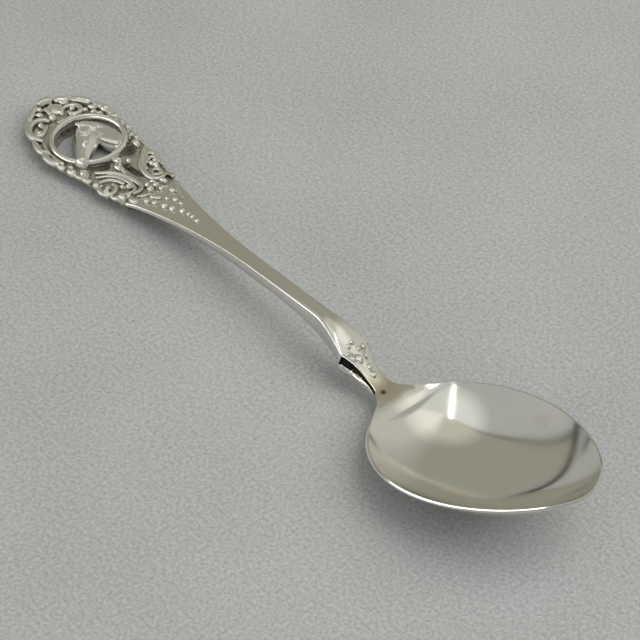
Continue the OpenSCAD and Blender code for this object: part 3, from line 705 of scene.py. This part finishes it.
def strand(points, thick, lift=0.22, ends=0.55):
    """A round strand along a smooth path of (x, y) or (x, y, thickness share), slimmer at its ends."""
    path = flowing([(*p, 1) if len(p) == 2 else p for p in points])
    bpy.ops.curve.primitive_nurbs_path_add()
    wire = bpy.context.object
    wire.data.splines.clear()
    spline = wire.data.splines.new("POLY")
    spline.points.add(len(path) - 1)
    for i, (point, (x, y, share)) in enumerate(zip(spline.points, path)):
        from_end = min(i, len(path) - 1 - i) / len(path)
        swell = between(ends, 1, min(1, from_end / STRAND_TAPER) ** 0.7)
        point.co = (*at(x, y, ground(x) + lift - CAST_SINK), 1)
        point.radius = share * swell
    wire.data.bevel_depth = thick * CAST_LOSS * MM
    wire.data.bevel_resolution = 3
    wire.data.use_fill_caps = True
    bpy.ops.object.convert(target="MESH")
    return bpy.context.object


def lobe(x, y, length, width, tall, turn=0, lift=0):
    """A smooth rounded lump on the plate: half length, half width, height, and its turn in degrees."""
    bpy.ops.mesh.primitive_uv_sphere_add(
        segments=24, ring_count=16, radius=MM, location=at(x, y, ground(x) + lift),
        rotation=(0, 0, math.radians(turn)), scale=(length, width, tall),
    )
    return bpy.context.object


def cast(name, parts, voxel=0.09, smoothing=5):
    """Runs the parts together as in a casting: one skin over them all, a little softened."""
    only(*parts)
    bpy.ops.object.transform_apply(location=True, rotation=True, scale=True)
    bpy.ops.object.join()
    piece = bpy.context.object
    piece.name = piece.data.name = name
    modify(piece, "REMESH", mode="VOXEL", voxel_size=voxel * MM)
    modify(piece, "SMOOTH", factor=0.5, iterations=smoothing)
    bpy.ops.object.shade_smooth()
    return piece


head_parts = [
    strand([(10.6, 1.2, 0.75), (12.2, 0.7, 0.98), (13.9, -0.2, 1), (15.5, -1.6, 0.82), (17.2, -3.1, 0.62),
            (18.7, -4.2, 0.6)], 1.7, -0.15, 0.9),
    lobe(18.8, -4.3, 1.35, 1.1, 2.2, 25, 0.15),
    lobe(18.0, -4.5, 0.6, 0.5, 1.3, 0, 0.2),
    lobe(13.0, 0.2, 1.5, 1.25, 2.1, -30, 0.1),
    lobe(15.2, -1.2, 1.1, 0.7, 2.0, -40, 0.1),
    strand([(12.6, 2.6, 0.75), (14.2, 3.0, 0.9), (15.8, 3.3, 1), (17.4, 3.7, 0.95), (18.8, 3.9, 0.78)],
           1.6, -0.1, 0.9),
    strand([(10.0, 1.2), (11.0, 2.2), (12.4, 3.2), (14.4, 3.9), (16.6, 4.3), (18.6, 4.3)], 0.6, 0.9, 0.8),
    strand([(9.7, 0.6), (10.6, 1.0), (11.6, 1.8), (12.8, 2.5)], 0.42, 1.2, 0.7),
    lobe(10.5, 0.9, 0.75, 0.32, 1.5, 25, 0.1),
    strand([(15.4, 1.9), (16.4, 2.2), (17.4, 2.7), (18.3, 3.2)], 0.5, 1.2, 0.7),
    lobe(13.1, -0.5, 0.36, 0.3, 0.4, 0, 1.95),
    strand([(12.4, -0.95), (12.6, -0.15), (13.3, 0.2), (13.9, -0.1)], 0.15, 2.0, 0.7),
]
horse_head = cast("silver_horse_head", head_parts, 0.1, 4)
bpy.ops.object.mode_set(mode="EDIT")
bpy.ops.mesh.select_all(action="SELECT")
bpy.ops.transform.resize(value=(1, 1, HEAD_FLATTEN), center_override=at(RING_X, 0, HEAD_BASE))
bpy.ops.object.mode_set(mode="OBJECT")
finish_piece(horse_head, "horse_head", bright_silver)

# Crest: leaves, a swirl and beads that crown the tip of the finial. They are cast in silver, chased, and
# soldered to the plate.
crest = cast("silver_crest", [
    strand([(4.0, -4.7), (2.8, -3.6), (2.0, -2.7), (1.3, -1.6)], 0.5, 0.35),
    strand([(1.3, -1.3), (1.05, -0.4), (1.2, 0.6), (1.7, 1.3)], 0.62, 0.55),
    strand([(1.7, 1.5), (2.1, 2.3), (2.6, 3.0), (3.1, 3.7)], 0.56, 0.5),
    strand([(3.3, 4.0), (4.1, 4.9), (5.0, 5.6), (6.0, 6.1)], 0.62, 0.5),
    strand([(6.3, 6.4), (7.3, 6.7), (8.1, 6.8)], 0.45, 0.4),
    strand([(4.2, 1.8), (4.3, 2.7), (4.8, 3.6), (5.7, 3.9), (6.6, 3.5), (6.9, 2.6), (6.3, 1.9), (5.4, 1.9)],
           0.42, 0.4),
    lobe(5.4, 2.75, 0.55, 0.5, 1.0),
    lobe(3.6, 0.6, 1.7, 1.4, 0.75, 20),
    lobe(3.1, 2.6, 0.9, 0.5, 0.8, 40),
    lobe(5.0, 0.7, 0.9, 0.5, 0.85, 0),
    lobe(2.5, -1.75, 0.55, 0.5, 1.0),
    strand([(2.5, -0.9), (3.5, -0.75), (4.6, -0.9)], 0.42, 0.35),
    lobe(5.4, -1.15, 0.85, 0.66, 1.05),
    lobe(3.6, -2.5, 0.8, 0.5, 0.85, 30),
    strand([(6.0, -2.1), (5.2, -2.5), (4.75, -3.4), (4.8, -4.5), (5.5, -5.6), (6.8, -6.4), (8.0, -6.6),
            (9.0, -6.2), (9.8, -5.8)], 0.46, 0.4),
    strand([(6.5, -2.9), (7.2, -3.7), (7.9, -4.5), (8.3, -5.3), (7.7, -5.7), (6.9, -5.3), (6.4, -4.7)],
           0.34, 0.25),
    lobe(6.2, -3.9, 0.62, 0.55, 1.0),
    lobe(7.8, -5.15, 0.5, 0.45, 0.95),
    strand([(3.8, -4.6), (4.8, -5.5), (6.3, -6.4), (8.2, -6.9)], 0.42, 0.25),
    lobe(8.6, 4.9, 0.75, 0.42, 1.0, 40, 0.1),
    lobe(9.75, 5.35, 0.7, 0.5, 1.15, 20, 0.1),
    lobe(7.0, 5.5, 0.9, 0.5, 0.9, 30),
    lobe(6.9, 4.3, 0.6, 0.4, 0.8, 30),
    strand([(7.1, 2.6), (7.0, 1.3), (7.1, 0.1), (6.9, -1.2)], 0.34, 0.25),
])

# Silver of the cast ornament: bright on its high parts, and greyed and browned in every crevice, partly as
# tarnish and partly as painted shade.
worn_silver = bpy.data.materials.new("worn_silver")
make_silver(worn_silver, "#f2f0e8", "#8a8472", 0.2, 0.22, 0.38, 1.4, 0.45)
finish_piece(crest, "crest", worn_silver)

# Borders beside the ring: leaves, shells and beads in a row down each side. They are cast in silver like the
# crest and soldered to the plate.
border_left = cast("silver_border_left", [
    strand([(8.8, -7.0), (10.4, -7.4), (11.7, -7.6), (12.5, -7.2), (12.7, -6.7)], 0.48, 0.35),
    strand([(12.4, -7.4), (13.6, -7.8), (14.9, -7.8), (15.8, -7.5), (16.6, -7.0)], 0.5, 0.35),
    strand([(9.9, -5.9), (11.2, -6.4), (12.6, -6.7), (13.8, -6.8)], 0.3, 0.3),
    strand([(13.6, -6.7), (15.2, -6.8), (16.8, -6.4)], 0.32, 0.3),
    lobe(17.2, -7.2, 0.95, 0.55, 0.62, 8, 0.1),
    lobe(18.3, -6.2, 0.6, 0.42, 0.7, 0, 0.1),
    lobe(19.3, -6.7, 1.05, 0.6, 0.7, 12, 0.15),
    strand([(20.3, -6.6), (21.3, -6.3), (21.8, -5.6), (21.2, -5.0), (20.4, -4.9), (19.9, -5.5)], 0.34, 0.3),
    lobe(20.8, -5.55, 0.6, 0.5, 0.9),
    strand([(21.7, -6.2), (22.7, -5.9), (23.5, -5.7)], 0.45, 0.35),
    lobe(24.5, -5.5, 0.7, 0.5, 0.75, 10, 0.1),
])
finish_piece(border_left, "border_left", worn_silver)
border_right = cast("silver_border_right", [
    lobe(8.9, 6.9, 1.0, 0.85, 1.0, 12, 0.3),
    lobe(10.3, 6.7, 0.6, 0.45, 0.8, 10, 0.1),
    lobe(11.6, 7.0, 0.95, 0.75, 0.95, 3, 0.25),
    lobe(13.5, 6.95, 0.75, 0.5, 0.8, 0, 0.1),
    lobe(15.4, 6.85, 0.9, 0.72, 0.95, -4, 0.25),
    lobe(17.0, 6.5, 0.6, 0.48, 0.8),
    lobe(18.4, 6.5, 0.8, 0.48, 0.85, -12, 0.2),
    lobe(19.5, 5.6, 1.0, 0.65, 0.95, 0, 0.15),
    strand([(10.4, 6.1), (12.3, 6.55), (14.4, 6.6), (16.4, 6.2), (17.9, 5.5)], 0.3, 0.3),
])
finish_piece(border_right, "border_right", worn_silver)

# Scrolls below the ring: on each side a stalk that runs into a volute, with its inner curl. They are cast in
# silver and soldered to the plate, round its windows.
scroll_left = cast("silver_scroll_left", [
    strand([(21.6, -3.8), (22.3, -3.1), (23.0, -2.2), (23.8, -1.4), (25.0, -0.7), (26.6, -0.1), (28.3, 0.1),
            (29.7, -0.4), (30.5, -1.4), (30.6, -2.6)], 0.38, 0.3),
    strand([(22.7, -4.4), (23.3, -3.3), (24.1, -2.2), (25.3, -1.4), (26.8, -0.95), (28.4, -0.9), (29.3, -1.5),
            (29.6, -2.4), (29.1, -3.3), (28.3, -3.6)], 0.3, 0.28),
    strand([(24.3, -4.9), (24.3, -3.8), (24.8, -2.8), (25.8, -2.1), (26.9, -1.7)], 0.32, 0.28),
    lobe(28.0, -1.75, 0.55, 0.5, 1.0), lobe(27.5, -2.55, 0.5, 0.45, 0.95),
    strand([(25.6, -3.2), (26.7, -3.3), (27.5, -4.1), (27.7, -5.0), (27.0, -5.7), (25.9, -5.8), (25.1, -5.3),
            (25.1, -4.6)], 0.38, 0.3),
    lobe(27.0, -5.2, 0.65, 0.5, 1.0), lobe(26.4, -4.5, 0.45, 0.45, 0.9),
    strand([(28.2, -5.2), (29.6, -4.8), (31.0, -4.4)], 0.36, 0.3),
    lobe(30.3, -4.5, 0.95, 0.55, 1.0, 10), lobe(30.9, -3.6, 0.5, 0.4, 0.8),
])
finish_piece(scroll_left, "scroll_left", worn_silver)
scroll_right = cast("silver_scroll_right", [
    strand([(20.9, 6.4), (22.2, 5.2), (23.4, 3.9), (24.8, 2.9), (26.5, 2.45), (28.0, 2.5), (29.0, 3.1),
            (29.1, 4.2), (28.5, 5.1)], 0.42, 0.3),
    strand([(21.8, 6.5), (22.6, 5.6), (23.5, 4.6), (24.7, 3.7), (26.0, 3.3)], 0.3, 0.28),
    strand([(26.4, 5.8), (25.3, 6.2), (24.3, 6.1), (23.8, 5.6), (24.0, 4.8), (24.8, 4.3)], 0.34, 0.3),
    lobe(25.2, 5.4, 0.62, 0.55, 1.1), lobe(25.4, 4.5, 0.6, 0.45, 1.05), lobe(26.2, 4.9, 0.65, 0.5, 1.1),
    strand([(26.7, 3.8), (26.7, 4.5), (27.4, 4.8), (28.1, 4.4), (28.1, 3.7), (27.5, 3.3), (26.8, 3.6)],
           0.3, 0.3),
    strand([(22.6, 5.9), (23.0, 6.4), (23.9, 6.6), (24.9, 6.6)], 0.38, 0.3),
    strand([(28.9, 5.5), (30.1, 5.2), (31.2, 4.8)], 0.38, 0.3),
])
finish_piece(scroll_right, "scroll_right", worn_silver)

# Collar: a short baluster with beads that ties the ring to the scrolls. It is cast in silver and soldered to
# the bridge between the plate's windows.
collar = cast("silver_collar", [
    strand([(19.9, 0.7), (20.8, 0.7), (21.6, 0.6)], 0.6, 0.3, 0.9),
    lobe(21.6, 0.75, 0.7, 0.75, 1.15),
    lobe(23.1, -0.45, 0.95, 0.5, 1.05, 15),
    lobe(22.6, 2.05, 0.6, 0.52, 1.05),
    strand([(22.3, 0.6), (23.4, 0.2), (24.8, -0.1)], 0.3, 0.25),
])
finish_piece(collar, "collar", bright_silver)

# Base scrolls: small leaves and strands that lie over the root of the handle and fade into it. They are cast
# thin in silver and soldered down.
base_scrolls = cast("silver_base_scrolls", [
    lobe(32.6, -3.9, 0.95, 0.48, 0.5, 15),
    lobe(34.2, -2.5, 0.6, 0.42, 0.5, 10),
    lobe(35.5, -1.9, 0.55, 0.4, 0.48, 10),
    strand([(33.3, -1.3), (34.3, -0.9), (35.2, -0.4)], 0.34, 0.12),
    strand([(31.6, -2.6), (32.4, -1.8), (32.8, -0.9)], 0.26, 0.1),
    lobe(30.9, 3.0, 0.9, 0.48, 0.75, 15),
    lobe(29.4, 2.0, 0.75, 0.36, 0.7, 25),
    lobe(32.6, 1.3, 0.6, 0.36, 0.45, 20),
    lobe(34.5, 2.2, 0.66, 0.42, 0.5, 10),
    lobe(35.9, 0.15, 0.5, 0.3, 0.4, 10),
    lobe(37.1, 0.9, 0.6, 0.38, 0.45, 10),
    lobe(38.6, 0.85, 0.55, 0.3, 0.4, 10),
    strand([(31.8, 4.4), (33.4, 3.7), (35.3, 2.8), (37.6, 1.9)], 0.3, 0.06),
])
finish_piece(base_scrolls, "base_scrolls", worn_silver)

# Beads: silver melted to round shot, three between the volutes and a row that shrinks down the handle. Each
# is soldered in its place.
bead_cluster = cast("silver_bead_cluster", [
    lobe(29.9, 0.6, 0.55, 0.5, 0.95), lobe(31.7, -0.05, 0.66, 0.58, 0.8),
    lobe(31.3, 1.3, 0.62, 0.55, 0.8),
], 0.08, 1)
finish_piece(bead_cluster, "bead_cluster", bright_silver)
bead_drop = cast("silver_bead_drop", [
    lobe(37.4, -1.35, 0.66, 0.52, 0.6), lobe(38.9, -0.95, 0.62, 0.48, 0.56),
    lobe(40.5, -0.2, 0.6, 0.46, 0.52), lobe(41.9, 0, 0.42, 0.36, 0.4), lobe(42.9, 0, 0.42, 0.36, 0.4),
    lobe(44.3, -0.15, 0.5, 0.4, 0.42),
], 0.07, 1)
finish_piece(bead_drop, "bead_drop", bright_silver)

# Rosette: a small flower with leaves that point at the bowl. It is cast in silver, soldered to the shoulder
# and worn smooth.
shoulder_rosette = cast("silver_shoulder_rosette", [
    lobe(81.5, 0.1, 0.42, 0.38, 0.6), lobe(81.75, -0.8, 0.44, 0.4, 0.6),
    lobe(82.65, 1.25, 0.48, 0.42, 0.6), lobe(82.6, 0.35, 0.42, 0.34, 0.5),
    lobe(83.75, -0.5, 0.95, 0.5, 0.62, 5), lobe(82.7, -1.3, 0.55, 0.3, 0.45, 55),
    lobe(83.5, -1.25, 0.5, 0.26, 0.4, 20), lobe(83.75, 0.75, 0.7, 0.28, 0.48, -12),
    lobe(85.4, 0.15, 0.5, 0.42, 0.42), lobe(86.5, -0.1, 0.7, 0.45, 0.36),
], 0.07, 2)
finish_piece(shoulder_rosette, "shoulder_rosette", bright_silver)
